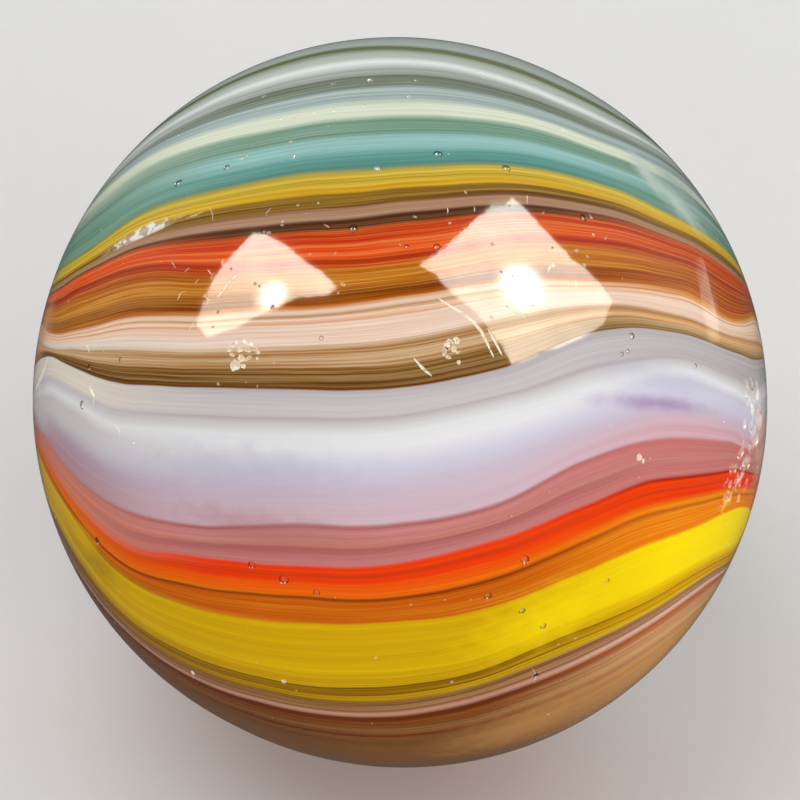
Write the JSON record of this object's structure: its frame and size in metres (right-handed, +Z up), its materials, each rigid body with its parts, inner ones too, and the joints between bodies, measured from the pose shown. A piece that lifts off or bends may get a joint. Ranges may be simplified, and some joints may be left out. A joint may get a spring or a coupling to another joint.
{
  "type": "glass marble",
  "caption": "Solid glass ball with bands of coloured glass swirled from end to end, for play, display or use as a loose rolling ball.",
  "frame": {"origin": "centre of the ball", "axes": "+X along the roll axis, from the folded end to the sheared end; +Z up, away from the seat; the front, where the waved bands show best, faces -Y and up"},
  "size_m": [0.016, 0.016, 0.016],
  "materials": {
    "glass": "fire-polished"
  },
  "bodies": {
    "root": {"marble": "glass"}
  },
  "joints": []
}
